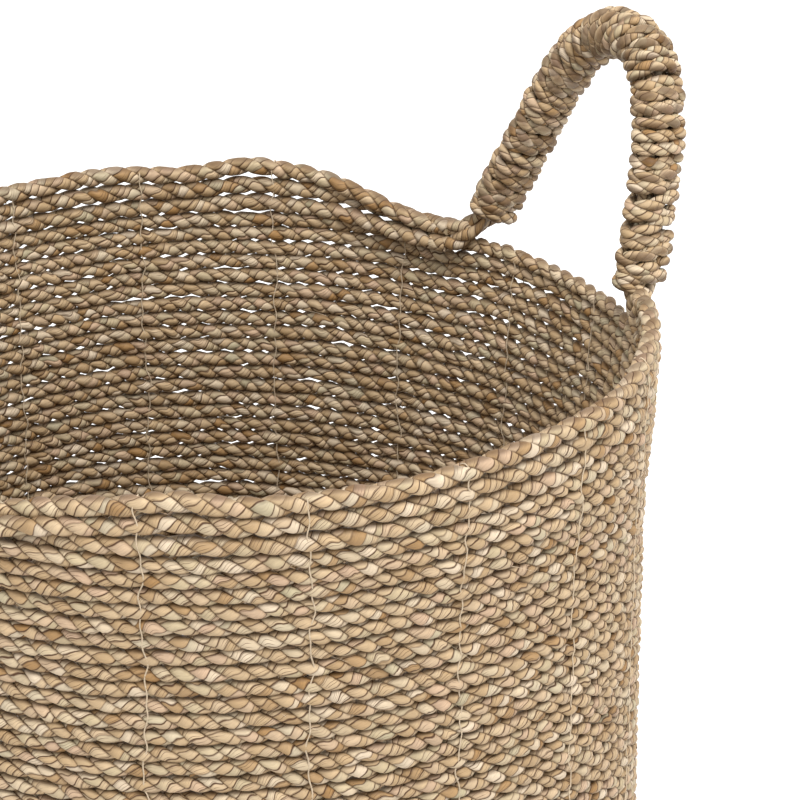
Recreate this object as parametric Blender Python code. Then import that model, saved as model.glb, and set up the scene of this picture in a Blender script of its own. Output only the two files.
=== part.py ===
"""Round storage basket coiled from seagrass rope, with two rope-bound handles.

Metres, +Z up. The origin is the centre of the underside, where the basket stands. The two handles
stand on +X and -X. Each one leans over on a line through its two feet, parallel to Y.
"""

import math

import bmesh
import bpy
from mathutils import Matrix, Vector

# Wall and base
BODY_RADIUS = 0.1965
WALL_ROPE = 0.0037
WALL_TOP = 0.3533
CORNER_RADIUS = 0.014
BASE_THICKNESS = 0.0074
BASE_RADIUS = 0.178
FLARE_START = 0.262
FLARE = 0.0035
FLARE_AT_HANDLES = 0.0026
WALL_LEVELS = (0.034, 0.14, 0.262, 0.292, 0.322)
AROUND = 60
CORNER_STEPS = 4
GAP = 0.0003

# Rim: three thicker ropes on each side, running from one handle to the other
RIM_ROPE = 0.00425
RIM_PITCH = 0.0088
RIM_COURSES = 3
RIM_STEPS = 22
GATHER_STEPS = 8
GATHER_START = 0.052
GATHER_END = 0.006
GATHER_SLACK = 0.02

# Handles
HINGE_X = 0.1895
HINGE_Z = 0.361
FOOT_Y = 0.0608
LEAN = math.radians(18.0)
ROOT_LENGTH = 0.012
ARCH_HEIGHT = 0.1055
ARCH_PINCH = 0.09
ARCH_STEPS = 22
CORE_ROPE = 0.0034
CORE_OFFSET = 0.0036
WRAP_HALF_WIDTH = 0.0136
WRAP_HALF_DEPTH = 0.0102
WRAP_WALL = 0.0058
WRAP_START = 0.0245
WRAP_CORNER_STEPS = 6
FOOT_CLEARANCE = 0.0006

# Sewing threads
STITCH_LINES = 18
FIRST_STITCH = math.radians(13.0)
THREAD = 0.0006
THREAD_GAP = 0.0006
THREAD_BOTTOM = 0.016

ROPE_SIDES = 2  # bevel resolution: eight sides
THREAD_SIDES = 0  # bevel resolution: four sides


def clear_scene():
    """Remove every object of the scene."""
    for thing in list(bpy.data.objects):
        bpy.data.objects.remove(thing)


def material(name, colour, roughness):
    """A Principled material with one colour."""
    made = bpy.data.materials.new(name)
    made.use_nodes = True
    shader = made.node_tree.nodes["Principled BSDF"]
    shader.inputs["Base Color"].default_value = (*colour, 1.0)
    shader.inputs["Roughness"].default_value = roughness
    shader.inputs["Metallic"].default_value = 0.0
    made.diffuse_color = (*colour, 1.0)
    return made


def smoothstep(low, high, value):
    """0 below low, 1 above high and a smooth rise between them."""
    share = min(max((value - low) / (high - low), 0.0), 1.0)
    return share * share * (3.0 - 2.0 * share)


def flare_at(height, azimuth):
    """How far the wall stands out from the straight body: more near the handles."""
    full = FLARE + FLARE_AT_HANDLES * math.cos(azimuth) ** 2
    return full * smoothstep(FLARE_START, WALL_TOP, height)


def wall_radius(height, azimuth):
    """Radius of the middle of the wall's rope at a height above the corner."""
    return BODY_RADIUS + flare_at(height, azimuth)


def add_mesh(name, mesh_source, finish):
    """Turn a bmesh into an object of the scene."""
    mesh = bpy.data.meshes.new(name)
    mesh_source.to_mesh(mesh)
    mesh_source.free()
    thing = bpy.data.objects.new(name, mesh)
    bpy.context.scene.collection.objects.link(thing)
    mesh.materials.append(finish)
    mesh.shade_smooth()
    mesh.set_sharp_from_angle(angle=math.radians(40.0))
    return thing


def turned(name, profile, finish):
    """Spin a closed profile of (radius, height) points once round Z."""
    made = bmesh.new()
    corners = [made.verts.new((radius, 0.0, height)) for radius, height in profile]
    edges = [made.edges.new((corners[i - 1], corners[i])) for i in range(len(corners))]
    bmesh.ops.spin(
        made,
        geom=corners + edges,
        cent=(0.0, 0.0, 0.0),
        axis=(0.0, 0.0, 1.0),
        angle=math.tau,
        steps=AROUND,
        use_merge=True,
    )
    bmesh.ops.remove_doubles(made, verts=made.verts, dist=1e-6)
    bmesh.ops.recalc_face_normals(made, faces=made.faces)
    return add_mesh(name, made, finish)


def build_base(finish):
    """The flat spiral of rope that the basket stands on, as a disc with rounded edges."""
    made = bmesh.new()
    bmesh.ops.create_cone(
        made,
        cap_ends=True,
        segments=AROUND,
        radius1=BASE_RADIUS,
        radius2=BASE_RADIUS,
        depth=BASE_THICKNESS,
        matrix=Matrix.Translation((0.0, 0.0, BASE_THICKNESS / 2)),
    )
    rims = [edge for edge in made.edges if edge.verts[0].co.z == edge.verts[1].co.z]
    bmesh.ops.bevel(
        made,
        geom=rims,
        offset=BASE_THICKNESS / 4,
        segments=1,
        profile=0.5,
        affect="EDGES",
        material=-1,
    )
    return add_mesh("base_coil", made, finish)


def wall_profile():
    """Outer face upward, then inner face downward, with a rounded lower corner."""
    outer = []
    for step in range(CORNER_STEPS + 1):
        angle = math.pi / 2 * step / CORNER_STEPS
        radius = BODY_RADIUS + WALL_ROPE - CORNER_RADIUS * (1.0 - math.sin(angle))
        outer.append((radius, CORNER_RADIUS * (1.0 - math.cos(angle))))
    outer += [(BODY_RADIUS + WALL_ROPE, height) for height in WALL_LEVELS + (WALL_TOP,)]
    inner_levels = (WALL_TOP,) + WALL_LEVELS[::-1] + (CORNER_RADIUS,)
    inner = [(BODY_RADIUS - WALL_ROPE, height) for height in inner_levels]
    foot = BASE_RADIUS + GAP
    heel = BODY_RADIUS - WALL_ROPE - CORNER_RADIUS / 4
    return outer + inner + [(heel, BASE_THICKNESS), (foot, BASE_THICKNESS), (foot, 0.0)]


def build_wall(finish):
    """The coiled wall as one shell, open at the top, flared a little near the handles."""
    wall = turned("wall_coil", wall_profile(), finish)
    for corner in wall.data.vertices:
        azimuth = math.atan2(corner.co.y, corner.co.x)
        outward = Vector((math.cos(azimuth), math.sin(azimuth), 0.0))
        corner.co += outward * flare_at(corner.co.z, azimuth)
    return wall


def tube(name, points, radius, sides, finish):
    """A rope or thread along points, with flat ends."""
    curve = bpy.data.curves.new(name, "CURVE")
    curve.dimensions = "3D"
    curve.bevel_depth = radius
    curve.bevel_resolution = sides
    curve.use_fill_caps = True
    spline = curve.splines.new("POLY")
    spline.points.add(len(points) - 1)
    for target, point in zip(spline.points, points):
        target.co = (*point, 1.0)
    curve.materials.append(finish)
    thing = bpy.data.objects.new(name, curve)
    bpy.context.scene.collection.objects.link(thing)
    return thing


def gathered(course, share):
    """Offset outward and height of one rim rope over the lowest one.

    At share 0 the three ropes lie on top of each other. At share 1 the lower two lie side by side
    and the third lies in the groove between them.
    """
    tilt = math.pi / 2 * (1.0 - share)
    spacing = RIM_PITCH * (1.0 + GATHER_SLACK * math.sin(math.pi * share))
    pair = Vector((math.cos(tilt), math.sin(tilt))) * spacing
    lowest = Vector((-pair.x / 2, 0.0))
    if course == 0:
        return lowest
    second = lowest + pair
    if course == 1:
        return second
    settle = math.pi / 2 + math.pi / 6 * share
    return second + Vector((math.cos(settle), math.sin(settle))) * spacing


def foot_azimuth():
    """Azimuth where the rim ropes stop, just clear of the foot of the +X handle."""
    radius = wall_radius(WALL_TOP, 0.0) - RIM_PITCH / 2 - RIM_ROPE
    return math.asin((FOOT_Y + CORE_ROPE + FOOT_CLEARANCE) / radius)


def rim_points(course, turn):
    """Middle line of one rim rope, from the +Y foot of a handle round to the next handle.

    The ropes gather into a bundle only beside the foot where they start. turn is 0 or pi.
    """
    start = foot_azimuth()
    level = start + GATHER_START / BODY_RADIUS
    end = math.pi - start
    bundle = [start + (level - start) * step / GATHER_STEPS for step in range(GATHER_STEPS)]
    stack = [level + (end - level) * step / RIM_STEPS for step in range(RIM_STEPS + 1)]
    points = []
    for azimuth in bundle + stack:
        travelled = (azimuth - start) * BODY_RADIUS
        share = 1.0 - smoothstep(GATHER_END, GATHER_START, travelled)
        out, lift = gathered(course, share)
        radius = wall_radius(WALL_TOP, azimuth) + out
        height = WALL_TOP + GAP + RIM_ROPE + lift
        spot = azimuth + turn
        points.append((radius * math.cos(spot), radius * math.sin(spot), height))
    return points


def build_rim(finish):
    """Three ropes along each half of the rim."""
    for side, turn in (("back", 0.0), ("front", math.pi)):
        for course in range(RIM_COURSES):
            name = f"rim_rope_{side}_{course + 1}"
            tube(name, rim_points(course, turn), RIM_ROPE, ROPE_SIDES, finish)


def arch_points(start):
    """(along Y, up the leaning plane) of the handle's middle line, from height start up and over."""
    points = []
    if start < ROOT_LENGTH:
        points.append((FOOT_Y, start))
    for step in range(ARCH_STEPS + 1):
        angle = math.pi * step / ARCH_STEPS
        rise = math.sin(angle)
        half = FOOT_Y * (1.0 - ARCH_PINCH * math.sin(math.pi * rise))
        point = (half * math.cos(angle), ROOT_LENGTH + ARCH_HEIGHT * rise)
        if point[1] >= start:
            points.append(point)
    if start < ROOT_LENGTH:
        points.append((-FOOT_Y, start))
    return points


def on_handle(side, along, up, out):
    """A point of the leaning handle in the basket's frame. side is +1 for +X and -1 for -X."""
    reach = HINGE_X + math.sin(LEAN) * up + math.cos(LEAN) * out
    height = HINGE_Z + math.cos(LEAN) * up - math.sin(LEAN) * out
    return Vector((side * reach, side * along, height))


def hinge_empty(side, name):
    """The parent of a handle's pieces, on its hinge line."""
    hinge = bpy.data.objects.new(name, None)
    hinge.location = (side * HINGE_X, 0.0, HINGE_Z)
    bpy.context.scene.collection.objects.link(hinge)
    return hinge


def hang_on(hinge, thing):
    """Parent a piece to its hinge and keep it where it is."""
    thing.parent = hinge
    thing.matrix_parent_inverse = Matrix.Translation(-Vector(hinge.location))


def core_rope(name, side, out, finish):
    """One of the two ropes that run through a handle, from its hinge line up and over."""
    points = [on_handle(side, along, up, out) for along, up in arch_points(0.0)]
    return tube(name, points, CORE_ROPE, ROPE_SIDES, finish)


def wrap_outline():
    """(out, across) points of the binding's outer face: a slot shape round the two core ropes."""
    straight = WRAP_HALF_WIDTH - WRAP_HALF_DEPTH
    outline = []
    for end in (1, -1):
        for step in range(WRAP_CORNER_STEPS + 1):
            angle = math.pi * step / WRAP_CORNER_STEPS - math.pi / 2
            out = end * (straight + WRAP_HALF_DEPTH * math.cos(angle))
            outline.append((out, end * WRAP_HALF_DEPTH * math.sin(angle)))
    return outline


def arch_directions(points):
    """Unit direction of the middle line at each of its points."""
    found = []
    for index in range(len(points)):
        before = Vector(points[max(index - 1, 0)])
        after = Vector(points[min(index + 1, len(points) - 1)])
        found.append((after - before).normalized())
    return found


def build_wrap(name, side, finish):
    """The rope wound round the core ropes, as one hollow sleeve open at both feet."""
    middle = arch_points(WRAP_START)
    made = bmesh.new()
    previous = []
    for (along, up), direction in zip(middle, arch_directions(middle)):
        across = Vector((-direction.y, direction.x))
        ring = []
        for out, offset in wrap_outline():
            spot = Vector((along, up)) + across * offset
            ring.append(made.verts.new(on_handle(side, spot.x, spot.y, out)))
        edges = [made.edges.new((ring[i - 1], ring[i])) for i in range(len(ring))]
        if previous:
            bmesh.ops.bridge_loops(made, edges=previous + edges)
        previous = edges
    bmesh.ops.recalc_face_normals(made, faces=made.faces)
    sleeve = add_mesh(name, made, finish)
    skin = sleeve.modifiers.new("wall", "SOLIDIFY")
    skin.thickness = WRAP_WALL
    skin.offset = -1.0
    skin.use_even_offset = True
    return sleeve


def build_handle(side, name, rope_finish, wrap_finish):
    """One handle: two core ropes and the rope that binds them, on a hinge line."""
    hinge = hinge_empty(side, f"{name}_hinge")
    hang_on(hinge, core_rope(f"{name}_core_rope_inner", side, -CORE_OFFSET, rope_finish))
    hang_on(hinge, core_rope(f"{name}_core_rope_outer", side, CORE_OFFSET, rope_finish))
    hang_on(hinge, build_wrap(f"{name}_binding", side, wrap_finish))


def beside_handle(azimuth):
    """True where the wall has no rim ropes on it, between the feet of a handle."""
    return abs(math.sin(azimuth)) * BODY_RADIUS < FOOT_Y


def thread_points(azimuth):
    """A thread up the outer face, over the top rope and down the inner face."""
    stand_off = THREAD + THREAD_GAP
    wall_reach = WALL_ROPE + stand_off
    climb = [(wall_reach, THREAD_BOTTOM)]
    climb += [(wall_reach, height) for height in WALL_LEVELS if height >= FLARE_START]
    if beside_handle(azimuth):
        climb.append((wall_reach, WALL_TOP + stand_off))
    else:
        rim_top = WALL_TOP + GAP + RIM_PITCH * (RIM_COURSES - 1) + 2 * RIM_ROPE
        rim_reach = RIM_ROPE + stand_off
        climb += [(rim_reach, WALL_TOP), (rim_reach, rim_top - RIM_ROPE)]
        climb.append((rim_reach / 2, rim_top + THREAD_GAP))
    points = []
    for reach, height in climb + [(-reach, height) for reach, height in climb[::-1]]:
        radius = wall_radius(height, azimuth) + reach
        points.append((radius * math.cos(azimuth), radius * math.sin(azimuth), height))
    return points


def build_threads(finish):
    """The sewing threads that hold the coils together, evenly round the basket."""
    for line in range(STITCH_LINES):
        azimuth = FIRST_STITCH + math.tau * line / STITCH_LINES
        name = f"sewing_thread_{line + 1:02d}"
        tube(name, thread_points(azimuth), THREAD, THREAD_SIDES, finish)


def main():
    """Build the basket in an empty scene."""
    clear_scene()
    rope = material("seagrass rope", (0.47, 0.36, 0.22), 0.75)
    binding = material("seagrass binding rope", (0.52, 0.41, 0.26), 0.75)
    thread = material("sewing thread", (0.62, 0.52, 0.36), 0.8)
    build_base(rope)
    build_wall(rope)
    build_rim(rope)
    build_handle(1, "right_handle", rope, binding)
    build_handle(-1, "left_handle", rope, binding)
    build_threads(thread)


main()
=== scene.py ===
"""Seagrass storage basket: one twisted rope coiled into base and wall, and two bound handles.

Everything is in metres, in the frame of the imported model. The basket is made as the real one is: a
two-ply seagrass rope is laid along the route of the coil, the rim or the handle's binding.
"""

import logging
import math
from collections.abc import Callable, Sequence
from dataclasses import dataclass
from enum import Enum
from functools import cached_property

import bmesh
import bpy
import numpy as np
from mathutils import Euler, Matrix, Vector


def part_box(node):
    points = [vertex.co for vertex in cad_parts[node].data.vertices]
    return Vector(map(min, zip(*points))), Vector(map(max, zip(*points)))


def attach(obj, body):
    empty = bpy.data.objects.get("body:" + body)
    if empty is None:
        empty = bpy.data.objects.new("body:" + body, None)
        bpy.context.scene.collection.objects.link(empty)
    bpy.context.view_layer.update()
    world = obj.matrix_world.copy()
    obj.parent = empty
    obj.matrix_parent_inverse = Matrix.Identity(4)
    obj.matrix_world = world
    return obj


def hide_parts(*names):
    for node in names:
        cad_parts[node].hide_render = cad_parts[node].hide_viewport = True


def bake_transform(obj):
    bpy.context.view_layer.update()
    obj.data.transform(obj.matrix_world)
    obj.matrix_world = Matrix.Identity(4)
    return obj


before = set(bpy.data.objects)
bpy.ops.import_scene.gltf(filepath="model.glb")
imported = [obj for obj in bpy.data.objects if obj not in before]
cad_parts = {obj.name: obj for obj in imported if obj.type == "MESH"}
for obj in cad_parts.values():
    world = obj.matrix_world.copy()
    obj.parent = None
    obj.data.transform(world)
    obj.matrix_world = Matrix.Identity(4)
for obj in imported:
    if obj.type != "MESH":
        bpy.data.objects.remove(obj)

LOG = logging.getLogger("basket")
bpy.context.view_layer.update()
MM = 0.001
SOFT_STEP = {"interpolation_type": "SMOOTHSTEP"}
LEAF_EDGES = {"voronoi_dimensions": "1D", "feature": "DISTANCE_TO_EDGE"}


class Hand(Enum):
    """Which handle of the basket: the one on +X or the one on -X."""

    RIGHT = 1
    LEFT = -1

    @property
    def body(self) -> str:
        """Name of the handle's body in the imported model."""
        return f"{self.name.lower()}_handle"

    @property
    def turn(self) -> float:
        """Angle from the +X handle to this one."""
        return 0.0 if self is Hand.RIGHT else math.pi


def smooth(low: float, high: float, value: np.ndarray) -> np.ndarray:
    """Give 0 below low, 1 above high and a smooth rise between them."""
    share = np.clip((np.asarray(value, float) - low) / (high - low), 0.0, 1.0)
    return share * share * (3.0 - 2.0 * share)


def hump(value: np.ndarray, middle: float, width: float) -> np.ndarray:
    """Give 1 at the middle and a bell-shaped fall to 0 on both sides of it."""
    return np.exp(-(((value - middle) / width) ** 2))


@dataclass(frozen=True)
class Wander:
    """A smooth irregular wave along a rope, made of a few sines.

    Attributes:
        shortest: shortest wavelength, in metres.
        longest: longest wavelength, in metres.
        seed: number that sets the wave's form.
        count: how many sines are added.
    """

    shortest: float
    longest: float
    seed: int
    count: int = 6

    def at(self, along: np.ndarray) -> np.ndarray:
        """Give the wave's height, mostly from -1 to 1, at places along the rope."""
        dice = np.random.default_rng(self.seed)
        waves = np.geomspace(self.shortest, self.longest, self.count)
        waves = waves * dice.uniform(0.85, 1.15, self.count)
        shifts = dice.uniform(0.0, math.tau, self.count)
        total = sum(np.sin(math.tau * along / wave + shift) for wave, shift in zip(waves, shifts))
        return total / math.sqrt(self.count)


@dataclass(frozen=True)
class Route:
    """The middle line of a rope.

    Attributes:
        points: the line's points, close together, one row each.
        normals: a direction across the line at each point, from which the twist is counted.
    """

    points: np.ndarray
    normals: np.ndarray

    @classmethod
    def carried(cls, points: np.ndarray, first: Sequence[float]) -> "Route":
        """Make a route whose cross direction is carried along the line without twisting.

        Args:
            points: the line's points.
            first: rough cross direction at the first point.

        Returns:
            The route.
        """
        points = np.asarray(points, float)
        ways = np.gradient(points, axis=0)
        ways /= np.linalg.norm(ways, axis=1)[:, None]
        normal = np.asarray(first, float)
        normals = []
        for way in ways:
            normal = normal - way * (normal @ way)
            normal = normal / np.linalg.norm(normal)
            normals.append(normal)
        return cls(points, np.array(normals))

    @cached_property
    def reach(self) -> np.ndarray:
        """Distance along the line to each point."""
        steps = np.linalg.norm(np.diff(self.points, axis=0), axis=1)
        return np.concatenate([[0.0], np.cumsum(steps)])

    @property
    def length(self) -> float:
        """Whole length of the line."""
        return float(self.reach[-1])

    def spread(self, along: np.ndarray, values: np.ndarray) -> np.ndarray:
        """Read a row of values at places along the line."""
        return np.stack([np.interp(along, self.reach, column) for column in values.T], axis=1)

    def place(self, along: np.ndarray, out: np.ndarray, up: np.ndarray) -> np.ndarray:
        """Give the points beside the line.

        Args:
            along: distance along the line.
            out: distance in the cross direction.
            up: distance in the direction across both.

        Returns:
            One point for each place.
        """
        middle = self.spread(along, self.points)
        ways = self.spread(along, np.gradient(self.points, axis=0))
        ways /= np.linalg.norm(ways, axis=1)[:, None]
        normals = self.spread(along, self.normals)
        normals -= ways * np.sum(normals * ways, axis=1)[:, None]
        normals /= np.linalg.norm(normals, axis=1)[:, None]
        beside = np.cross(ways, normals)
        return middle + normals * out[:, None] + beside * up[:, None]


def read_points(mesh: bpy.types.Mesh) -> np.ndarray:
    """Give a mesh's points as rows."""
    flat = np.empty(len(mesh.vertices) * 3)
    mesh.vertices.foreach_get("co", flat)
    return flat.reshape(-1, 3)


def write_points(mesh: bpy.types.Mesh, points: np.ndarray) -> None:
    """Put a mesh's points where the rows say."""
    mesh.vertices.foreach_set("co", points.ravel())
    mesh.update()


def made_object(name: str, source: bmesh.types.BMesh) -> bpy.types.Object:
    """Turn a bmesh into an object at the origin."""
    mesh = bpy.data.meshes.new(name)
    source.to_mesh(mesh)
    source.free()
    thing = bpy.data.objects.new(name, mesh)
    bpy.context.scene.collection.objects.link(thing)
    return thing


def flat_sheets(
    name: str, count: int, rings: int, sides: int
) -> tuple[bpy.types.Object, np.ndarray, np.ndarray]:
    """Make flat grids that are rolled into tubes afterwards.

    Args:
        name: name of the piece.
        count: how many grids.
        rings: steps along a tube.
        sides: steps round a tube.

    Returns:
        The object, and for every point its share of the way along and of the way round.
    """
    source = bmesh.new()
    for _ in range(count):
        bmesh.ops.create_grid(source, x_segments=rings, y_segments=sides, size=0.5)
    thing = made_object(name, source)
    points = read_points(thing.data) + 0.5
    return thing, points[:, 0], points[:, 1]


def close_tubes(thing: bpy.types.Object) -> None:
    """Join the rolled sheets' long edges, close both ends and shade them smooth."""
    source = bmesh.new()
    source.from_mesh(thing.data)
    bmesh.ops.remove_doubles(source, verts=source.verts, dist=1e-6)
    bmesh.ops.holes_fill(source, edges=[edge for edge in source.edges if edge.is_boundary], sides=0)
    bmesh.ops.recalc_face_normals(source, faces=source.faces)
    source.to_mesh(thing.data)
    source.free()
    thing.data.shade_smooth()
    thing.data.set_sharp_from_angle(angle=math.radians(75.0))


@dataclass(frozen=True)
class TwistedRope:
    """A rope of two seagrass strands laid round each other.

    Attributes:
        radius: radius over both strands.
        lay: length in which a strand goes once round.
        ring: spacing of the mesh's rings along the rope.
        sides: points round a strand.
        seed: number that sets the rope's irregularities.
        swell: how much a strand's thickness changes, as a share.
        stray: how far the twist runs ahead or behind, in radians.
    """

    radius: float
    lay: float
    ring: float = 2.0 * MM
    sides: int = 8
    seed: int = 1
    swell: float = 0.1
    stray: float = 0.75

    CENTRE = 0.37
    THICK = 0.63
    BROAD = 0.73

    def laid(
        self,
        name: str,
        route: Route,
        start: float = 0.0,
        end: float | None = None,
        girth: Callable[[np.ndarray], np.ndarray] | None = None,
    ) -> bpy.types.Object:
        """Lay the rope along a route.

        Args:
            name: name of the piece.
            route: the rope's middle line.
            start: distance along the route where this piece starts.
            end: distance where it ends, or None for the route's end.
            girth: share of the full thickness at places along the route, or None for 1 everywhere.

        Returns:
            The piece.
        """
        end = route.length if end is None else end
        rings = max(2, round((end - start) / self.ring))
        thing, share, turned = flat_sheets(name, 2, rings, self.sides)
        along = start + share * (end - start)
        ply = np.where(np.arange(len(along)) < len(along) // 2, 1.0, -1.0)
        waves = [Wander(11 * MM, 60 * MM, self.seed + step).at(along) for step in (0, 1)]
        size = self.radius * (1.0 + self.swell * np.where(ply > 0, *waves))
        around = math.pi - math.tau * turned
        flat = self.CENTRE * self.radius + self.THICK * size * np.cos(around)
        rise = self.BROAD * size * np.sin(around)
        stray = self.stray * Wander(34 * MM, 240 * MM, self.seed + 2).at(along)
        twist = math.tau * along / self.lay + stray
        scale = ply if girth is None else ply * girth(along)
        out = scale * (flat * np.cos(twist) - rise * np.sin(twist))
        up = scale * (flat * np.sin(twist) + rise * np.cos(twist))
        write_points(thing.data, route.place(along, out, up))
        strand = thing.data.attributes.new("strand", "FLOAT_VECTOR", "POINT")
        values = np.stack([1.0 - turned, along / MM, self.seed * 2.0 + (ply > 0)], axis=1)
        strand.data.foreach_set("vector", values.astype(np.float32).ravel())
        # How far out toward the next course a point lies, from which the material paints shade
        # between courses.
        groove = thing.data.attributes.new("groove", "FLOAT", "POINT")
        groove.data.foreach_set("value", (np.abs(up) / self.radius).astype(np.float32))
        close_tubes(thing)
        return thing


@dataclass(frozen=True)
class ThinCord:
    """A plain round cord: sewing twine or a loose fibre.

    Attributes:
        radius: the cord's radius.
        ring: spacing of the mesh's rings.
        sides: points round the cord.
    """

    radius: float
    ring: float = 1.5 * MM
    sides: int = 4

    def laid(self, name: str, routes: Sequence[Route], tip: float = 1.0) -> bpy.types.Object:
        """Lay one cord along each route, all in one piece.

        Args:
            name: name of the piece.
            routes: the cords' middle lines, all about equally long.
            tip: share of the radius that is left at the cord's end.

        Returns:
            The piece.
        """
        rings = max(2, round(max(route.length for route in routes) / self.ring))
        thing, share, turned = flat_sheets(name, len(routes), rings, self.sides)
        size = self.radius * (1.0 + (tip - 1.0) * share)
        around = math.pi - math.tau * turned
        placed = []
        for index, route in enumerate(routes):
            part = slice(index * len(share) // len(routes), (index + 1) * len(share) // len(routes))
            out, up = size[part] * np.cos(around[part]), size[part] * np.sin(around[part])
            placed.append(route.place(share[part] * route.length, out, up))
        write_points(thing.data, np.concatenate(placed))
        close_tubes(thing)
        return thing


def linear(code: str) -> tuple[float, float, float, float]:
    """Turn an sRGB hex colour into linear red, green, blue and alpha."""
    parts = [int(code[start : start + 2], 16) / 255.0 for start in (1, 3, 5)]
    light = [part / 12.92 if part <= 0.04045 else ((part + 0.055) / 1.055) ** 2.4 for part in parts]
    return (*light, 1.0)


class Nodes:
    """A material's or a world's node tree, with one way to add a node."""

    def __init__(self, owner: bpy.types.Material | bpy.types.World, shader: str) -> None:
        """Open the owner's tree.

        Args:
            owner: the material or world.
            shader: name of the shader node that its tree starts with.
        """
        owner.use_nodes = True
        self.tree = owner.node_tree
        self.shader = self.tree.nodes[shader]

    def add(
        self, kind: str, inputs: dict | None = None, give: int | str = 0, **settings: object
    ) -> bpy.types.NodeSocket:
        """Add a node.

        Args:
            kind: the node's type without the ShaderNode prefix.
            inputs: a value or an output socket for each input, by name or number.
            give: which output is wanted.
            settings: the node's own settings.

        Returns:
            The wanted output.
        """
        node = self.tree.nodes.new("ShaderNode" + kind)
        for key, value in settings.items():
            setattr(node, key, value)
        self.fill(node, inputs or {})
        return node.outputs[give]

    def fill(self, node: bpy.types.Node, inputs: dict) -> None:
        """Set a node's inputs, or link them where the value is an output socket."""
        for key, value in inputs.items():
            if isinstance(value, bpy.types.NodeSocket):
                self.tree.links.new(value, node.inputs[key])
            else:
                node.inputs[key].default_value = value


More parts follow.
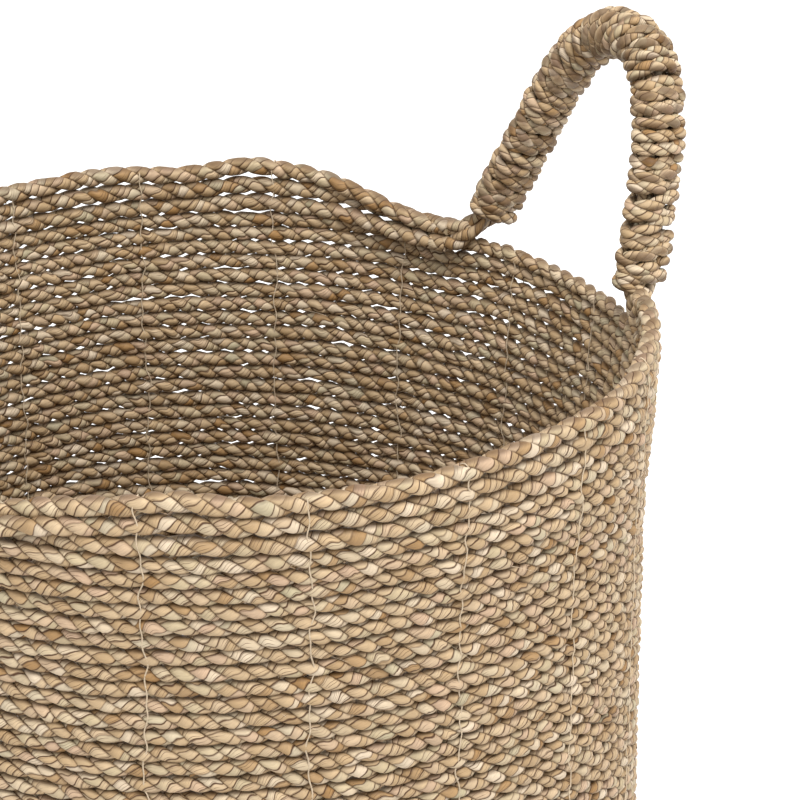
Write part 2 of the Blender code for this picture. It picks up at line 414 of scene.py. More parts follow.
@dataclass(frozen=True)
class TwistedSeagrass:
    """Dried seagrass leaf twisted into strands: matt with a faint waxy shine.

    Each strand is a bundle of flat leaves turned the other way to the rope, so narrow slanting
    patches of straw, beige and green-grey show, with a thin dark line at each leaf's edge.

    Attributes:
        name: the material's name.
        leaves: colours of the leaves, from the commonest shadow tone to the palest.
        edge: colour of a leaf's edge, and of the painted shade in the crease and between
            neighbouring courses.
        leaf_mm: usual width of a leaf's patch along the strand.
        turns: how many leaf edges cross a strand's circumference.
        waver_mm: length over which the leaf edges bend one way and back.
        waver: how far they bend, in leaf widths.
        folds: how many fine folds a leaf has across its width.
        shade_mm: length over which a strand grows paler or darker.
        groove_shade: how much darker the painted shade makes the rope where it meets the next
            course.
        bump_mm: height of a leaf above its neighbour's edge.
        roughness: roughness of the leaf.
    """

    name: str
    leaves: tuple[tuple[float, str], ...] = (
        (0.0, "#89683F"),
        (0.07, "#987E5C"),
        (0.2, "#A08867"),
        (0.36, "#A99171"),
        (0.5, "#AE9879"),
        (0.62, "#AB9076"),
        (0.74, "#A69576"),
        (0.86, "#B6A387"),
        (0.95, "#C0AE96"),
        (1.0, "#A19578"),
    )
    edge: str = "#42270E"
    leaf_mm: float = 3.1
    turns: float = 2.9
    waver_mm: float = 1.0 / 0.11
    waver: float = 1.6
    folds: float = 2.7
    shade_mm: float = 40.0
    groove_shade: float = 0.7
    bump_mm: float = 0.4
    roughness: float = 0.62

    def made(self) -> bpy.types.Material:
        """Build the material."""
        material = bpy.data.materials.new(self.name)
        nodes = Nodes(material, "Principled BSDF")
        add = nodes.add
        strand = add("Attribute", give="Vector", attribute_name="strand")
        around, along, ply = add("SeparateXYZ", {0: strand}).node.outputs[:3]

        # Place in the row of leaves: it runs ahead round the strand, so the leaves slant.
        bent = add("Math", {0: along, 1: 1.0 / self.waver_mm}, operation="MULTIPLY")
        apart = add("Math", {0: ply, 1: 3.7}, operation="MULTIPLY")
        drift = add("CombineXYZ", {0: bent, 1: around, 2: apart})
        warp = add("TexNoise", {"Vector": drift, "Scale": 1.0, "Detail": 0.0})
        lean = add("Math", {0: ply, 1: 31.7}, operation="MULTIPLY")
        lean = add("Math", {0: around, 1: self.turns, 2: lean}, operation="MULTIPLY_ADD")
        place = add("Math", {0: along, 1: 1.0 / self.leaf_mm, 2: lean}, operation="MULTIPLY_ADD")
        place = add("Math", {0: warp, 1: self.waver, 2: place}, operation="MULTIPLY_ADD")

        # One colour for each leaf, taken at random.
        row = {"W": place, "Scale": 1.0, "Randomness": 0.85}
        leaf = add("TexVoronoi", row, "Color", voronoi_dimensions="1D").node
        border = add("TexVoronoi", row, "Distance", **LEAF_EDGES)
        chance, rarity = add("SeparateColor", {0: leaf.outputs["Color"]}).node.outputs[:2]
        ramp = add("ValToRGB", {0: chance})
        self.colour(ramp.node.color_ramp)

        # Fine streaks along the leaf, a slow change of tone, and one side in faint shade.
        across = add("Math", {0: place, 1: 9.0}, operation="MULTIPLY")
        wide = add("Math", {0: around, 1: 3.0}, operation="MULTIPLY")
        streak = add("CombineXYZ", {0: across, 1: wide, 2: ply})
        streak = {"Vector": streak, "Scale": 1.0, "Detail": 3.0, "Roughness": 0.6}
        streak = add("TexNoise", streak)
        slow = add("Math", {0: along, 1: 1.0 / self.shade_mm}, operation="MULTIPLY")
        slow = add("CombineXYZ", {0: slow, 1: ply})
        shade = add("TexNoise", {"Vector": slow, "Scale": 1.0, "Detail": 2.0})
        tilt = add("Math", {0: place, 1: leaf.outputs["W"]}, operation="SUBTRACT")
        light = add("Math", {0: streak, 1: 0.5, 2: 0.72}, operation="MULTIPLY_ADD")
        light = add("Math", {0: tilt, 1: 0.22, 2: light}, operation="MULTIPLY_ADD")
        shade = add("Math", {0: shade, 1: 0.5, 2: 0.75}, operation="MULTIPLY_ADD")
        light = add("Math", {0: light, 1: shade}, operation="MULTIPLY")
        toned = {"Factor": 1.0, 6: ramp, 7: light}
        toned = add("Mix", toned, 2, data_type="RGBA", blend_type="MULTIPLY")

        # Dark line at a leaf's edge, fainter on some, with fine folds between on others.
        line = add("MapRange", {0: border, 1: 0.02, 2: 0.13, 3: 1.0, 4: 0.0}, **SOFT_STEP)
        strong = add("MapRange", {0: rarity, 1: 0.1, 2: 0.5, 3: 0.45, 4: 1.0})
        line = add("Math", {0: line, 1: strong}, operation="MULTIPLY")
        fold = {"W": place, "Scale": self.folds, "Randomness": 1.0}
        fold = add("TexVoronoi", fold, "Distance", **LEAF_EDGES)
        fold = add("MapRange", {0: fold, 1: 0.02, 2: 0.1, 3: 1.0, 4: 0.0}, **SOFT_STEP)
        some = add("MapRange", {0: warp, 1: 0.45, 2: 0.6, 3: 0.1, 4: 0.8})
        fold = add("Math", {0: fold, 1: some}, operation="MULTIPLY")
        line = add("Math", {0: line, 1: fold}, operation="MAXIMUM")

        # Painted shade, in the edge's brown, in the crease where the strands meet and in the groove
        # between neighbouring courses.
        aside = add("Math", {0: around, 1: 0.5}, operation="SUBTRACT")
        aside = add("Math", {0: aside}, operation="ABSOLUTE")
        crease_shade = add("MapRange", {0: aside, 1: 0.28, 2: 0.37, 3: 0.0, 4: 1.0}, **SOFT_STEP)
        broken = add("MapRange", {0: warp, 1: 0.38, 2: 0.56, 3: 0.6, 4: 1.0})
        crease_shade = add("Math", {0: crease_shade, 1: broken}, operation="MULTIPLY")
        groove = add("Attribute", give="Fac", attribute_name="groove")
        groove = {0: groove, 1: 0.5, 2: 0.95, 3: 0.0, 4: self.groove_shade}
        groove = add("MapRange", groove, **SOFT_STEP)
        # Leaf and fold lines, painted crease shade and painted shade between courses, all in the
        # edge colour.
        lines_and_shade = add("Math", {0: line, 1: crease_shade}, operation="MAXIMUM")
        lines_and_shade = add("Math", {0: lines_and_shade, 1: groove}, operation="MAXIMUM")
        colour = add("Mix", {"Factor": lines_and_shade, 6: toned, 7: linear(self.edge)}, 2, data_type="RGBA")

        # Each leaf is a low dome that lies over its neighbour's edge.
        dome = add("MapRange", {0: border, 1: 0.0, 2: 0.3, 3: 0.0, 4: 1.0}, **SOFT_STEP)
        height = add("Math", {0: streak, 1: 0.35, 2: dome}, operation="MULTIPLY_ADD")
        over = add("Math", {0: tilt, 1: 0.9}, operation="MULTIPLY")
        height = add("Math", {0: height, 1: over}, operation="ADD")
        bump = add("Bump", {"Strength": 0.7, "Distance": self.bump_mm * MM, "Height": height})
        nodes.fill(nodes.shader, {"Base Color": colour, "Normal": bump, "IOR": 1.45})
        nodes.fill(nodes.shader, {"Roughness": self.roughness, "Specular IOR Level": 0.35})
        return material

    def colour(self, ramp: bpy.types.ColorRamp) -> None:
        """Put the leaf colours in a colour ramp."""
        ramp.interpolation = "LINEAR"
        for index, (place, code) in enumerate(self.leaves):
            if index < 1:
                stop = ramp.elements[0]
            elif index == len(self.leaves) - 1:
                stop = ramp.elements[-1]
            else:
                stop = ramp.elements.new(place)
            stop.position = place
            stop.color = linear(code)


@dataclass(frozen=True)
class PaleTwine:
    """Thin sewing twine of a pale plant fibre: dull, with a fine twist.

    Attributes:
        name: the material's name.
        colour: colour of the fibre.
        grain_mm: size of the grain.
        bump_mm: height of the grain.
    """

    name: str = "pale plant twine"
    colour: str = "#B3A188"
    grain_mm: float = 1.0 / 0.9
    bump_mm: float = 0.1

    def made(self) -> bpy.types.Material:
        """Build the material."""
        material = bpy.data.materials.new(self.name)
        nodes = Nodes(material, "Principled BSDF")
        place = nodes.add("TexCoord", give="Object")
        grain = {"Vector": place, "Scale": 1.0 / (self.grain_mm * MM), "Detail": 3.0}
        grain = nodes.add("TexNoise", grain)
        light = nodes.add("Math", {0: grain, 1: 0.8, 2: 0.55}, operation="MULTIPLY_ADD")
        colour = {"Factor": 1.0, 6: linear(self.colour), 7: light}
        colour = nodes.add("Mix", colour, 2, data_type="RGBA", blend_type="MULTIPLY")
        bump = nodes.add("Bump", {"Strength": 0.5, "Distance": self.bump_mm * MM, "Height": grain})
        nodes.fill(nodes.shader, {"Base Color": colour, "Roughness": 0.8, "Normal": bump})
        return material


def finish_piece(
    thing: bpy.types.Object,
    material: bpy.types.Material,
    body: str | None,
    nodes: Sequence[str] = (),
) -> bpy.types.Object:
    """Dress a piece, say what it rides on and which solids it stands for, and report it.

    Args:
        thing: the piece.
        material: its finish.
        body: the body it rides on, or None for a piece that runs between two, which is then put on
            no body.
        nodes: the solids that it stands for.

    Returns:
        The piece.
    """
    thing.data.materials.clear()
    thing.data.materials.append(material)
    if body is not None:
        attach(thing, body)
    if nodes:
        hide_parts(*nodes)
    thing.data.calc_loop_triangles()
    LOG.info("%s: %d triangles", thing.name, len(thing.data.loop_triangles))
    return thing


@dataclass(frozen=True)
class BasketForm:
    """The basket's overall form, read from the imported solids.

    Attributes:
        rope: radius of the wall's rope.
        corner: radius of the rounded corner between base and wall, on the rope's middle line.
        flare: how far the rim stands out from the body.
        flare_at_handles: how much more it stands out beside the handles.
        flare_depth: how far below the wall's top the flare starts.
        rise_at_handles: how much higher the top courses run between a handle's feet.
    """

    rope: float = 3.75 * MM
    corner: float = 10.5 * MM
    flare: float = 3.5 * MM
    flare_at_handles: float = 1.4 * MM
    flare_depth: float = 64.0 * MM
    rise_at_handles: float = 2.6 * MM

    @cached_property
    def top(self) -> float:
        """Height of the wall's top, under the rim ropes."""
        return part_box("wall_coil")[1].z

    @cached_property
    def body(self) -> float:
        """Radius of the wall's middle line below the flare."""
        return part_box("wall_coil")[1].y - self.flare - self.rope - 1.6 * MM

    def radius(self, height: np.ndarray, azimuth: np.ndarray) -> np.ndarray:
        """Radius of the wall's middle line, a little out of round as handmade baskets are."""
        full = self.flare + self.flare_at_handles * np.cos(azimuth) ** 2
        flare = full * smooth(self.top - self.flare_depth, self.top, height)
        dents = 0.9 * np.sin(3 * azimuth + 14.0 * height + 0.7)
        dents = dents + 0.6 * np.sin(5 * azimuth - 23.0 * height)
        return self.body + flare + 0.6 * MM * dents * smooth(0.02, 0.12, height)

    def waver(self, azimuth: np.ndarray, height: np.ndarray) -> np.ndarray:
        """How far the courses rise or fall together round the basket."""
        waves = np.sin(4 * azimuth + 9.0 * height) + 0.7 * np.sin(7 * azimuth - 16.0 * height + 2.0)
        waves += 0.5 * np.sin(13 * azimuth + 31.0 * height + 1.0)
        wave = 0.55 * MM * waves * smooth(0.02, 0.08, height) * smooth(0.0, 0.05, self.top - height)
        beside = smooth(0.90, 0.965, np.abs(np.cos(azimuth)))
        return wave + self.rise_at_handles * beside * smooth(self.top - 0.12, self.top, height)


@dataclass(frozen=True)
class Coil:
    """The single rope that makes the flat base and then the wall.

    Attributes:
        form: the basket's form.
        pitch: wanted distance between neighbouring courses.
        thickness: thickness of the rope before it is pressed against its neighbours.
        lay: length in which a strand goes once round the rope.
        hub: radius where the spiral starts.
        step_at: azimuth where each wall course steps up to the next.
        step_width: angle over which it steps up.
        courses_in_piece: most courses in one piece.
        per_turn: points of the route in one turn.
    """

    form: BasketForm
    pitch: float = 7.55 * MM
    thickness: float = 8.3 * MM
    lay: float = 20.0 * MM
    hub: float = 2.6 * MM
    step_at: float = math.radians(145.0)
    step_width: float = math.radians(30.0)
    courses_in_piece: int = 8
    per_turn: int = 180

    @cached_property
    def profile(self) -> np.ndarray:
        """Rows from hub to top course: travelled, radius, height, and the outward direction."""
        form = self.form
        flat_end = form.body - form.corner
        low = self.thickness / 2 + 0.1 * MM
        radii = np.linspace(self.hub, flat_end, 60)
        rows = [(radius, low, 0.0, -1.0) for radius in radii[:-1]]
        for angle in np.linspace(0.0, math.pi / 2, 12):
            rows.append(
                (
                    flat_end + form.corner * math.sin(angle),
                    low + form.corner * (1.0 - math.cos(angle)),
                    math.sin(angle),
                    -math.cos(angle),
                )
            )
        last = form.top - form.rope
        heights = np.linspace(low + form.corner, last, 40)[1:]
        rows += [(form.body, height, 1.0, 0.0) for height in heights]
        table = np.array(rows)
        steps = np.hypot(*np.diff(table[:, :2], axis=0).T)
        return np.column_stack([np.concatenate([[0.0], np.cumsum(steps)]), table])

    @cached_property
    def courses(self) -> int:
        """Whole number of courses from hub to top."""
        return round(self.profile[-1, 0] / self.pitch)

    @cached_property
    def wall_start(self) -> float:
        """Travelled distance where the wall starts, at the corner's middle."""
        return self.form.body - self.form.corner - self.hub

    def travelled(self, turns: np.ndarray) -> np.ndarray:
        """Distance along the profile after a number of turns: a spiral, then level courses."""
        true_pitch = self.profile[-1, 0] / self.courses
        share = np.mod(turns, 1.0)
        half = self.step_width / math.tau / 2.0
        stepped = np.floor(turns) + smooth(0.5 - half, 0.5 + half, share) - 0.5
        level = smooth(self.wall_start, self.wall_start + 4 * true_pitch, turns * true_pitch)
        return true_pitch * (turns * (1.0 - level) + (stepped + 0.5) * level)

    @cached_property
    def route(self) -> Route:
        """The rope's whole route."""
        half = self.step_width / math.tau / 2.0
        turns = np.arange(0.0, self.courses + 0.5 + 0.5 * half, 1.0 / self.per_turn)
        gone = self.travelled(turns)
        table = self.profile
        radius, height, out_radius, out_height = (
            np.interp(gone, table[:, 0], column) for column in table[:, 1:].T
        )
        azimuth = self.step_at + math.tau * (turns - 0.5)
        along = math.tau * np.cumsum(radius) / self.per_turn
        shaped = self.form.radius(height, azimuth) - self.form.body
        radius = radius + shaped * smooth(0.01, 0.03, height)
        radius = radius + 0.3 * MM * Wander(60 * MM, 300 * MM, 5).at(along) * out_radius
        height = height + self.form.waver(azimuth, height)
        height = height + 0.38 * MM * Wander(26 * MM, 140 * MM, 6).at(along) * out_radius
        around = np.stack([np.cos(azimuth), np.sin(azimuth)], axis=1)
        points = np.column_stack([around * radius[:, None], height])
        normals = np.column_stack([around * out_radius[:, None], out_height])
        return Route(points, normals)

    @cached_property
    def rope(self) -> TwistedRope:
        """The rope that is coiled."""
        return TwistedRope(self.thickness / 2, self.lay, seed=11)

    def build(self, material: bpy.types.Material) -> None:
        """Lay the rope in pieces of a few courses each: the base first, then the wall."""
        route = self.route
        per_turn = self.per_turn
        true_pitch = self.profile[-1, 0] / self.courses
        base_turns = self.wall_start / true_pitch
        cuts = [0.0, base_turns * 0.72, base_turns]
        wall_pieces = math.ceil((self.courses - base_turns) / self.courses_in_piece)
        last = (len(route.points) - 1) / per_turn
        cuts += list(np.linspace(base_turns, last, wall_pieces + 1)[1:])
        places = [route.reach[min(round(cut * per_turn), len(route.reach) - 1)] for cut in cuts]
        ring, end = self.rope.ring, route.length
        places = [round(place / ring) * ring for place in places[:-1]] + [end]

        def girth(along: np.ndarray) -> np.ndarray:
            """Thin the rope toward both its ends."""
            first = 0.5 * (1.0 - smooth(0.0, 8 * MM, along))
            return 1.0 - 0.8 * smooth(end - 75 * MM, end, along) - first

        for index, (start, stop) in enumerate(zip(places, places[1:])):
            in_base = index < 2
            name = f"base_coil_{index + 1}" if in_base else f"wall_coil_{index - 1}"
            thing = self.rope.laid(name, route, start, stop, girth)
            solid = "base_coil" if in_base else "wall_coil"
            finish_piece(thing, material, "basket", [solid])


@dataclass(frozen=True)
class Rim:
    """Three thicker ropes along each half of the rim, between the handles' feet.

    They lie on top of each other. Toward one handle they dip and gather into a bundle over a long
    stretch, and toward the other over a short one.

    Attributes:
        form: the basket's form.
        radius: radius of a rim rope.
        pitch: height of one course.
        lay: length in which a strand goes once round the rope.
        foot: azimuth of the handle's foot.
        gap: distance from the foot where these ropes pass on to the handle's roots.
        long_dip: distances from a foot over which the ropes rise from bundle to stack.
        short_dip: the same at the other handle's foot.
        courses: how many ropes lie on each other.
    """

    form: BasketForm
    radius: float = 4.65 * MM
    pitch: float = 8.8 * MM
    lay: float = 25.0 * MM
    foot: float = math.radians(17.9)
    gap: float = 27.0 * MM
    long_dip: tuple[float, float] = (34 * MM, 112 * MM)
    short_dip: tuple[float, float] = (2 * MM, 30 * MM)
    courses: int = 3

    def offset(self, course: int, share: np.ndarray) -> tuple[np.ndarray, np.ndarray]:
        """Outward and upward distance from the lowest rope's place: share 0 a stack, 1 a bundle."""
        out = np.array([-8.4, 1.5, -6.8][course]) * MM
        lift = np.array([-6.3, -0.8, 2.2][course]) * MM
        return out * share, course * self.pitch * (1.0 - share) + lift * share

    def points(self, course: int, turn: float, first: float, last: float) -> np.ndarray:
        """Middle line of one rope.

        Args:
            course: 0 for the lowest rope.
            turn: 0 for the half that starts at the +X handle, pi for the other one.
            first: distance from the foot where the line starts.
            last: distance from the other handle's foot where it ends.

        Returns:
            The points, anticlockwise seen from above.
        """
        form = self.form
        span = (math.pi - 2 * self.foot) * form.body
        gone = np.arange(first, span - last, 2 * MM)
        azimuth = self.foot + gone / form.body
        share = 1.0 - smooth(*self.long_dip, gone)
        share = np.maximum(share, 1.0 - smooth(*self.short_dip, span - gone))
        out, lift = self.offset(course, share)
        waves = 2.8 * hump(gone, 0.131, 0.017) - 1.2 * hump(gone, 0.165, 0.02)
        waves += 1.6 * hump(gone, 0.215, 0.03) if turn == 0.0 else 0.6 * np.sin(gone / 0.021)
        waves = waves * (course + 1) / self.courses * smooth(0.09, 0.13, gone)
        wander = Wander(60 * MM, 240 * MM, 40 + course + round(turn) * 5)
        radius = form.radius(np.full_like(gone, form.top), azimuth + turn) + out
        radius = radius + 0.4 * MM * wander.at(gone)
        height = form.top + self.radius - 0.3 * MM + lift + waves * MM
        height = height + 0.35 * MM * wander.at(gone + 1.0)
        spot = azimuth + turn
        return np.column_stack([radius * np.cos(spot), radius * np.sin(spot), height])

    def rope(self, course: int, turn: float) -> TwistedRope:
        """The rope of one course."""
        seed = 60 + 3 * course + round(turn) * 10
        return TwistedRope(self.radius, self.lay, 1.5 * MM, 10, seed, 0.07, 0.6)

    def build(self, material: bpy.types.Material) -> None:
        """Lay the six ropes."""
        for half, turn in (("back", 0.0), ("front", math.pi)):
            for course in range(self.courses):
                points = self.points(course, turn, self.gap - 5 * MM, self.gap - 5 * MM)
                azimuth = self.foot + turn
                route = Route.carried(points, (math.cos(azimuth), math.sin(azimuth), 0.0))
                name = f"rim_rope_{half}_{course + 1}"
                thing = self.rope(course, turn).laid(f"{name}_rope", route)
                finish_piece(thing, material, "basket", [name])


@dataclass(frozen=True)
class Handle:
    """An arch of two core ropes wound in a figure of eight with a thinner rope.

    Attributes:
        hand: which handle.
        rim: the rim that its core ropes come from.
        hinge_out: distance of the hinge line from the basket's axis.
        hinge_up: height of the hinge line.
        foot: half the distance between the feet.
        lean: angle by which the arch leans outward.
        root: straight length above the hinge line.
        rise: height of the arch above the straight length.
        pinch: how much the arch narrows half-way up, as a share.
        core_radius: radius of a core rope.
        core_out: distance of a core rope from the arch's middle line.
        bind_radius: radius of the binding rope.
        bind_lay: length in which its strand goes once round.
        half_out: how far the binding's middle line swings along the lean's direction.
        half_across: how far it swings in the arch's plane.
        wind: distance along the arch between turns.
        tilts: how far a turn's outer edge runs ahead of its middle, at the first and second foot.
        tuck: how deep every other turn is tucked in, as a share.
        bind_start: distance along the arch from the first foot where the binding starts.
        bind_end: distance from the second foot where it ends.
        splay: how far the first foot is set out along the rim.
    """

    hand: Hand
    rim: Rim
    hinge_out: float = 189.5 * MM
    hinge_up: float = 361.0 * MM
    foot: float = 60.8 * MM
    lean: float = math.radians(18.0)
    root: float = 12.0 * MM
    rise: float = 105.5 * MM
    pinch: float = 0.09
    core_radius: float = 4.0 * MM
    core_out: float = 3.9 * MM
    bind_radius: float = 3.5 * MM
    bind_lay: float = 18.0 * MM
    half_out: float = 10.6 * MM
    half_across: float = 7.4 * MM
    wind: float = 6.0 * MM
    tilts: tuple[float, float] = (3.6 * MM, -6.5 * MM)
    tuck: float = 0.42
    bind_start: float = 6.0 * MM
    bind_end: float = 12.0 * MM
    splay: float = 5.0 * MM

    def place(self, along: np.ndarray, up: np.ndarray, out: np.ndarray) -> np.ndarray:
        """Turn places of the leaning arch into points of the basket's frame."""
        side = self.hand.value
        reach = self.hinge_out + math.sin(self.lean) * up + math.cos(self.lean) * out
        height = self.hinge_up + math.cos(self.lean) * up - math.sin(self.lean) * out
        return np.column_stack([side * reach, side * along, height])

    @cached_property
    def middle(self) -> Route:
        """The arch's middle line in its own plane, as (along, up, 0), from the first foot."""
        angle = np.linspace(0.0, math.pi, 241)
        swell = np.sin(angle)
        half = self.foot * (1.0 - self.pinch * np.sin(math.pi * swell))
        arch = np.column_stack([half * np.cos(angle), self.root + self.rise * swell, 0.0 * angle])
        legs = np.linspace(0.0, self.root, 8)[:-1]
        first = np.column_stack([np.full_like(legs, self.foot), legs, 0.0 * legs])
        last = first[::-1] * (-1.0, 1.0, 1.0)
        points = np.concatenate([first, arch, last])
        points[:, 0] += self.splay * (points[:, 0] > 0) * (1.0 - smooth(0.0, 60 * MM, points[:, 1]))
        return Route(points, np.tile((0.0, 0.0, 1.0), (len(points), 1)))

    def beside(self, gone: np.ndarray, out: np.ndarray, across: np.ndarray) -> np.ndarray:
        """Points beside the arch's middle line, in the basket's frame."""
        spot = self.middle.place(gone, out, across)
        return self.place(spot[:, 0], spot[:, 1], spot[:, 2])

    def core(self, out: float, first: float) -> Route:
        """Route of a core rope, hidden in the binding."""
        gone = np.arange(first, self.middle.length - first, 3 * MM)
        points = self.beside(gone, np.full_like(gone, out), 0.0 * gone)
        return Route.carried(points, (0.0, 0.0, 1.0))

    def binding(self) -> Route:
        """Route of the binding: tilted turns round both core ropes, every other one tucked in."""
        length = self.middle.length - self.bind_start - self.bind_end
        turns = round(length / self.wind)
        phase = np.linspace(0.0, math.tau * turns, turns * 48)
        loose = [Wander(16 * MM, 75 * MM, 81 + 5 * self.hand.value + step) for step in range(4)]
        gone = self.bind_start + length * phase / phase[-1]
        drawn = gone * 3.0
        tilt = np.interp(gone, [0.0, self.middle.length], self.tilts)
        tilt = tilt * (1.0 + 0.25 * loose[0].at(drawn)) * smooth(0.0, math.tau * 2, phase)
        tilt = tilt * smooth(0.0, math.tau * 2, phase[-1] - phase)
        odd = np.round(phase / math.pi) // 2 % 2
        swing = np.sin(phase)
        tuck = self.tuck * odd * hump(swing, 0.35, 0.3)
        out = self.half_out * swing * (1.0 + 0.05 * loose[1].at(drawn))
        crown = hump(gone, self.middle.length / 2, 48 * MM)
        wide = 1.0 + 0.25 * crown + 0.06 * loose[2].at(drawn) - tuck
        across = self.half_across * np.cos(phase) * wide
        across = across + 1.6 * MM * crown
        gone = gone + tilt * swing + 0.7 * MM * loose[3].at(drawn)
        gone = gone + 0.9 * MM * odd * np.cos(phase) ** 2
        return Route.carried(self.beside(gone, out, across), (0.0, 1.0, 0.0))

    def root_route(self, course: int, at_start: bool) -> Route:
        """Route of one rim rope's end, from the rim up into the binding.

        Args:
            course: 0 for the lowest rim rope.
            at_start: whether this is the foot where a half of the rim starts.

        Returns:
            The route.
        """
        rim = self.rim
        turn = self.hand.turn if at_start else self.hand.turn + math.pi
        turn = math.fmod(turn, math.tau)
        if at_start:
            line = rim.points(course, turn, rim.gap, 0.0)[:3][::-1]
        else:
            line = rim.points(course, turn, 0.0, rim.gap)[-3:]
        start, heading = line[-1], line[-1] - line[-3]
        out = (-self.core_out, self.core_out, 0.0)[course]
        reach_up = np.array([18 * MM, 30 * MM])
        gone = reach_up if at_start else self.middle.length - reach_up
        ends = self.beside(gone, np.array([out, out]), np.zeros(2))
        heading = heading / np.linalg.norm(heading)
        upward = (ends[1] - ends[0]) / np.linalg.norm(ends[1] - ends[0])
        reach = np.linalg.norm(ends[0] - start)
        t = np.linspace(0.0, 1.0, 24)[:, None]
        curve = (
            (2 * t**3 - 3 * t**2 + 1) * start
            + (t**3 - 2 * t**2 + t) * heading * reach * 1.3
            + (3 * t**2 - 2 * t**3) * ends[0]
            + (t**3 - t**2) * upward * reach * 1.1
        )
        points = np.concatenate([line[:-1], curve, ends[1:]])
        return Route.carried(points, (math.cos(self.hand.turn), math.sin(self.hand.turn), 0.0))

    def build(self, material: bpy.types.Material, binding_material: bpy.types.Material) -> None:
        """Lay the core ropes, their roots and the binding."""
        name = self.hand.body
        for place, out in (("inner", -self.core_out), ("outer", self.core_out)):
            rope = TwistedRope(self.core_radius, 24 * MM, 2.5 * MM, 8, 90 + round(out / MM) * 7)
            thing = rope.laid(f"{name}_core_{place}", self.core(out, 26 * MM))
            finish_piece(thing, material, name, [f"{name}_core_rope_{place}"])
        seed = 120 + self.hand.value
        rope = TwistedRope(self.bind_radius, self.bind_lay, 1.0 * MM, 10, seed, 0.08, 0.5)
        thing = rope.laid(f"{name}_binding_rope", self.binding())
        finish_piece(thing, binding_material, name, [f"{name}_binding"])
        self.build_roots(material)

    def build_roots(self, material: bpy.types.Material) -> None:
        """Lay the rim ropes' ends, which bend where they rise into the handle."""
        for at_start in (True, False):
            sign = 1.0 if at_start else -1.0
            for course in range(self.rim.courses):
                seed = 150 + course * 4 + 2 * at_start
                rope = TwistedRope(self.rim.radius * 0.96, 26 * MM, 1.2 * MM, 10, seed)
                where = "first" if at_start else "second"
                name = f"{self.hand.body}_root_{where}_{course + 1}"
                thing = rope.laid(name, self.root_route(course, at_start))
                finish_piece(thing, material, None)
                feet = np.array([sign * self.foot] * 2)
                ends = self.place(feet, np.array([6 * MM, 24 * MM]), np.zeros(2))
                self.hand.body
                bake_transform(thing)


@dataclass(frozen=True)
class Sewing:
    """Thin twine that runs up the outside of the wall, over the rim and down the inside.

    Attributes:
        coil: the coil that is sewn.
        rim: the rim's ropes.
        lines: how many lines of twine.
        first: azimuth of the first line.
        radius: radius of the twine.
    """

    coil: Coil
    rim: Rim
    lines: int = 18
    first: float = math.radians(13.0)
    radius: float = 0.32 * MM

    def route(self, azimuth: float) -> Route:
        """Route of one line, pulled in a little between the courses."""
        coil, rim = self.coil, self.rim
        place = ((azimuth - coil.step_at) / math.tau + 0.5) % 1.0
        rows = coil.route.points[round(place * coil.per_turn) :: coil.per_turn]
        rows = rows[rows[:, 2] > 16 * MM]
        radii = np.hypot(rows[:, 0], rows[:, 1])
        sizes = np.full(len(rows), coil.thickness / 2)
        rows = np.column_stack([radii, rows[:, 2], sizes])
        if abs(math.cos(azimuth)) < math.cos(rim.foot + 0.04):
            top = [[*self.rim_spot(azimuth, course), rim.radius] for course in range(rim.courses)]
            rows = np.concatenate([rows, top])
        between = (rows[1:] + rows[:-1]) / 2.0
        outer, inner = [], []
        for index, (radius, height, size) in enumerate(rows):
            outer.append((radius + size - 0.35 * MM, height))
            inner.append((radius - size + 0.35 * MM, height))
            if index < len(between):
                radius, height, size = between[index]
                outer.append((radius + 0.72 * size, height))
                inner.append((radius - 0.72 * size, height))
        radius, height, size = rows[-1]
        line = np.array(outer + [(radius, height + size + 0.3 * MM)] + inner[::-1])
        steps = np.concatenate([[0.0], np.cumsum(np.hypot(*np.diff(line, axis=0).T))])
        gone = np.arange(0.0, steps[-1], 1.2 * MM)
        line = np.column_stack([np.interp(gone, steps, column) for column in line.T])
        for _ in range(2):
            line[1:-1] = (line[:-2] + 2.0 * line[1:-1] + line[2:]) / 4.0
        sway = azimuth + 0.006 * Wander(15 * MM, 140 * MM, round(azimuth * 100)).at(gone)
        points = np.column_stack([line[:, 0] * np.cos(sway), line[:, 0] * np.sin(sway), line[:, 1]])
        return Route.carried(points, (math.cos(azimuth), math.sin(azimuth), 0.0))

    def rim_spot(self, azimuth: float, course: int) -> tuple[float, float]:
        """Radius and height of a rim rope's middle line at an azimuth."""
        turn = 0.0 if math.sin(azimuth) > 0 else math.pi
        points = self.rim.points(course, turn, 0.0, 0.0)
        ways = np.arctan2(points[:, 1], points[:, 0])
        spot = points[np.argmin(np.abs(np.angle(np.exp(1j * (ways - azimuth)))))]
        return float(np.hypot(*spot[:2])), float(spot[2])

    def build(self, material: bpy.types.Material) -> None:
        """Lay every line of twine."""
        for line in range(self.lines):
            azimuth = self.first + math.tau * line / self.lines
            name = f"sewing_thread_{line + 1:02d}"
            thing = ThinCord(self.radius).laid(f"{name}_twine", [self.route(azimuth)])
            finish_piece(thing, material, "basket", [name])


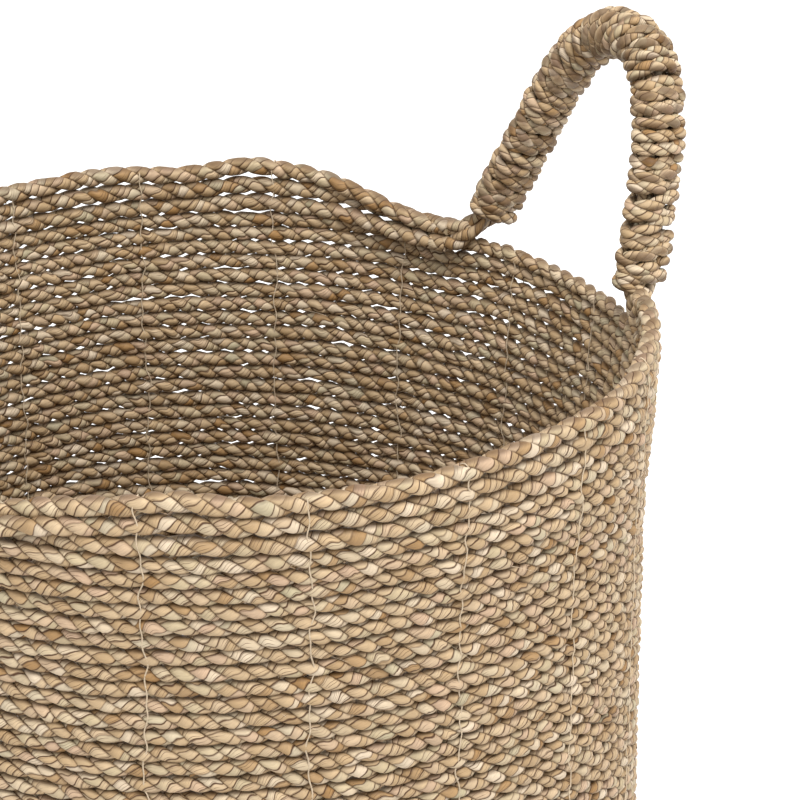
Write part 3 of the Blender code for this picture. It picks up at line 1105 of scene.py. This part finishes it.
@dataclass(frozen=True)
class LooseFibres:
    """Short hairs of leaf that stand out of the ropes here and there.

    Attributes:
        count: how many there are on each route.
        radius: radius of a hair at its root.
        longest: length of the longest hairs.
        first: share of the route before the first hair.
        seed: number that sets where they are.
    """

    count: int
    radius: float = 0.16 * MM
    longest: float = 11 * MM
    first: float = 0.02
    seed: int = 7

    def build(
        self, name: str, route: Route, beside: float, material: bpy.types.Material, body: str
    ) -> None:
        """Make the hairs along a rope.

        Args:
            name: name of the piece.
            route: the rope's route.
            beside: radius of the rope.
            material: their finish.
            body: the body they ride on.
        """
        dice = np.random.default_rng(self.seed)
        hairs = []
        for _ in range(self.count):
            spot = dice.uniform(self.first, 0.98) * route.length
            around = dice.uniform(0.0, math.tau)
            root, foot, ahead = route.place(
                np.array([spot, spot, min(spot + MM, route.length)]),
                np.array([0.0, beside * math.cos(around), 0.0]),
                np.array([0.0, beside * math.sin(around), 0.0]),
            )
            ahead = (ahead - root) / np.linalg.norm(ahead - root)
            away = (foot - root) / np.linalg.norm(foot - root)
            heading = away * dice.uniform(0.2, 0.8) + ahead * dice.choice([-1.0, 1.0])
            heading = heading + dice.normal(0.0, 0.25, 3)
            bend = dice.normal(0.0, 0.5, 3)
            length = self.longest * dice.uniform(0.25, 1.0) ** 1.6
            t = np.linspace(0.0, 1.0, 6)[:, None]
            line = root + (foot - root) * 0.8 + heading * length * t + bend * length * 0.5 * t**2
            hairs.append(Route.carried(line, away + (0.01, 0.02, 0.03)))
        thing = ThinCord(self.radius, self.longest / 5, 3).laid(name, hairs, 0.2)
        finish_piece(thing, material, body)


@dataclass(frozen=True)
class Studio:
    """Pale floor, soft light all round and the camera.

    Attributes:
        rim: radius of the rim, by which the camera's distance is set.
        distance: the camera's distance from the rim's centre, in rim radii.
        bearing: azimuth of the camera.
        rise: the camera's height angle above the rim's centre.
        yaw: how far the camera looks to the right of the basket's middle.
        pitch: how far it looks down.
        lens: focal length in mm on a 36 mm sensor.
        horizon: brightness of the surround at the horizon.
        zenith: its brightness overhead.
    """

    rim: float = 0.2
    distance: float = 8.0
    bearing: float = math.radians(-117.64)
    rise: float = math.radians(22.265)
    yaw: float = math.radians(3.293)
    pitch: float = math.radians(23.749)
    lens: float = 157.49
    horizon: float = 1.02
    zenith: float = 1.75

    def build(self, rim_height: float) -> None:
        """Make the camera, the floor and the lights."""
        data = bpy.data.cameras.new("camera")
        data.lens = self.lens
        data.sensor_width = 36.0
        data.clip_end = 50.0
        camera = bpy.data.objects.new("camera", data)
        away = self.distance * self.rim
        level = away * math.cos(self.rise)
        camera.location = (
            level * math.cos(self.bearing),
            level * math.sin(self.bearing),
            rim_height + away * math.sin(self.rise),
        )
        looks = self.bearing + math.pi - self.yaw
        camera.rotation_euler = Euler((math.pi / 2 - self.pitch, 0.0, looks - math.pi / 2))
        bpy.context.scene.collection.objects.link(camera)
        bpy.context.scene.camera = camera
        self.build_floor()
        self.build_light()

    def build_floor(self) -> None:
        """Make a large pale floor."""
        source = bmesh.new()
        bmesh.ops.create_grid(source, x_segments=1, y_segments=1, size=30.0)
        floor = made_object("floor", source)
        paint = bpy.data.materials.new("white floor paint")
        nodes = Nodes(paint, "Principled BSDF")
        nodes.fill(nodes.shader, {"Base Color": linear("#E9E9E9"), "Roughness": 0.9})
        nodes.fill(nodes.shader, {"Specular IOR Level": 0.1})
        floor.data.materials.append(paint)

    def build_light(self) -> None:
        """Make a white surround that brightens overhead, a key light and a fainter side light."""
        world = bpy.data.worlds.new("studio")
        nodes = Nodes(world, "Background")
        height = nodes.add("SeparateXYZ", {0: nodes.add("TexCoord", give="Generated")}, "Z")
        bright = nodes.add("MapRange", {0: height, 3: self.horizon, 4: self.zenith})
        nodes.fill(nodes.shader, {"Color": (1.0, 1.0, 1.0, 1.0), "Strength": bright})
        bpy.context.scene.world = world
        bpy.context.scene.view_settings.view_transform = "Standard"
        for name, turn, rise, away, size, power in (
            ("key light", 22.0, 64.0, 2.2, 0.8, 41.0),
            ("side light", 85.0, 40.0, 2.4, 1.4, 9.0),
        ):
            data = bpy.data.lights.new(name, "AREA")
            data.size = size
            data.energy = power
            lamp = bpy.data.objects.new(name, data)
            azimuth = self.bearing + math.radians(turn)
            high = math.radians(rise)
            lamp.location = Vector(
                (
                    away * math.cos(high) * math.cos(azimuth),
                    away * math.cos(high) * math.sin(azimuth),
                    0.3 + away * math.sin(high),
                )
            )
            aim = Vector((0.0, 0.0, 0.3)) - lamp.location
            lamp.rotation_euler = aim.to_track_quat("-Z", "Y").to_euler()
            bpy.context.scene.collection.objects.link(lamp)


def main() -> None:
    """Build the basket piece by piece."""
    logging.basicConfig(level=logging.INFO, format="%(name)s: %(message)s")
    form = BasketForm()
    seagrass = TwistedSeagrass("twisted seagrass").made()
    binding = TwistedSeagrass("fine twisted seagrass", leaf_mm=2.4).made()
    twine = PaleTwine().made()
    coil = Coil(form)
    coil.build(seagrass)
    rim = Rim(form)
    rim.build(seagrass)
    fibres = LooseFibres(260, first=0.24, seed=3)
    fibres.build("wall_fibres", coil.route, coil.thickness / 2, twine, "basket")
    for hand in Hand:
        handle = Handle(hand, rim)
        handle.build(seagrass, binding)
        fibres = LooseFibres(26, seed=5)
        name = f"{hand.body}_fibres"
        fibres.build(name, handle.binding(), handle.bind_radius, twine, hand.body)
    Sewing(coil, rim).build(twine)
    Studio().build(form.top + rim.courses * rim.pitch)


if __name__ == "__main__":
    main()
